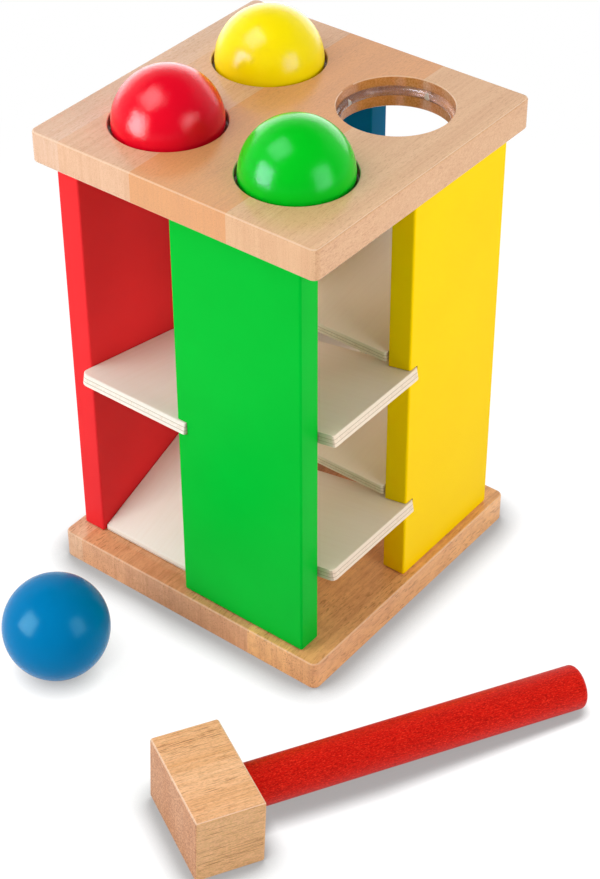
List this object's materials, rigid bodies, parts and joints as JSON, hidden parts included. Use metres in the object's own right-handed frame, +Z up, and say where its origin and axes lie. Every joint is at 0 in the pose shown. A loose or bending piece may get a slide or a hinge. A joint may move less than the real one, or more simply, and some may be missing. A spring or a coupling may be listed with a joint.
{
  "type": "pound and roll tower",
  "caption": "Wooden hammering toy: a square tower of painted panels with a spiral of plywood ramps, balls held in ringed holes in its top plate, and a hammer to knock them through.",
  "frame": {"origin": "centre of the base plate's underside, on the tower's axis", "axes": "+Z up along the tower's axis; -Y is the green panel's side, where the balls roll out; +X is the yellow panel's side"},
  "size_m": [0.2561, 0.2686, 0.2612],
  "materials": {
    "beech": "edge-glued beech board, clear satin lacquer",
    "red_paint": "satin red paint on wood",
    "green_paint": "satin green paint on wood",
    "yellow_paint": "satin yellow paint on wood",
    "blue_paint": "satin blue paint on wood",
    "plywood": "birch plywood, bare edges",
    "clear_plastic": "clear flexible plastic",
    "red_lacquer": "gloss red lacquer on wood",
    "green_lacquer": "gloss green lacquer on wood",
    "yellow_lacquer": "gloss yellow lacquer on wood",
    "blue_lacquer": "gloss blue lacquer on wood",
    "hammer_beech": "plain beech, eased edges",
    "red_stain": "red stain that shows the grain, satin",
    "screw_steel": "zinc plated",
    "dowel_birch": "bare birch dowel"
  },
  "bodies": {
    "tower": {"base_plate": "beech", "top_plate": "beech", "red_panel": "red_paint", "green_panel": "green_paint", "yellow_panel": "yellow_paint", "blue_panel": "blue_paint", "upper_back_ramp": "plywood", "upper_right_ramp": "plywood", "upper_front_ramp": "plywood", "upper_left_ramp": "plywood", "lower_back_ramp": "plywood", "lower_right_ramp": "plywood", "lower_front_ramp": "plywood", "exit_ramp": "plywood", "left_ring": "clear_plastic", "front_ring": "clear_plastic", "right_ring": "clear_plastic", "back_ring": "clear_plastic", "base_screw_green_1": "screw_steel", "base_screw_green_2": "screw_steel", "base_screw_yellow_1": "screw_steel", "base_screw_yellow_2": "screw_steel", "base_screw_blue_1": "screw_steel", "base_screw_blue_2": "screw_steel", "base_screw_red_1": "screw_steel", "base_screw_red_2": "screw_steel", "top_dowel_green_1": "dowel_birch", "top_dowel_green_2": "dowel_birch", "top_dowel_yellow_1": "dowel_birch", "top_dowel_yellow_2": "dowel_birch", "top_dowel_blue_1": "dowel_birch", "top_dowel_blue_2": "dowel_birch", "top_dowel_red_1": "dowel_birch", "top_dowel_red_2": "dowel_birch"},
    "ball_red": {"red_ball": "red_lacquer"},
    "ball_green": {"green_ball": "green_lacquer"},
    "ball_yellow": {"yellow_ball": "yellow_lacquer"},
    "ball_blue": {"blue_ball": "blue_lacquer"},
    "hammer": {"hammer_head": "hammer_beech", "hammer_handle": "red_stain"}
  },
  "joints": [
    {"name": "red_ball_drop", "type": "slide", "parent": "tower", "child": "ball_red", "axis": [0, 0, 1], "range_m": [-0.103, 0.04], "deforming": ["left_ring"]},
    {"name": "green_ball_drop", "type": "slide", "parent": "tower", "child": "ball_green", "axis": [0, 0, 1], "range_m": [-0.0842, 0.04], "deforming": ["front_ring"]},
    {"name": "yellow_ball_drop", "type": "slide", "parent": "tower", "child": "ball_yellow", "axis": [0, 0, 1], "range_m": [-0.0464, 0.04], "deforming": ["back_ring"]},
    {"name": "blue_ball_lift", "type": "slide", "parent": "tower", "child": "ball_blue", "axis": [0, 0, 1], "range_m": [0, 0.25]},
    {"name": "hammer_lift", "type": "slide", "parent": "tower", "child": "hammer", "axis": [0, 0, 1], "range_m": [0, 0.25]}
  ]
}
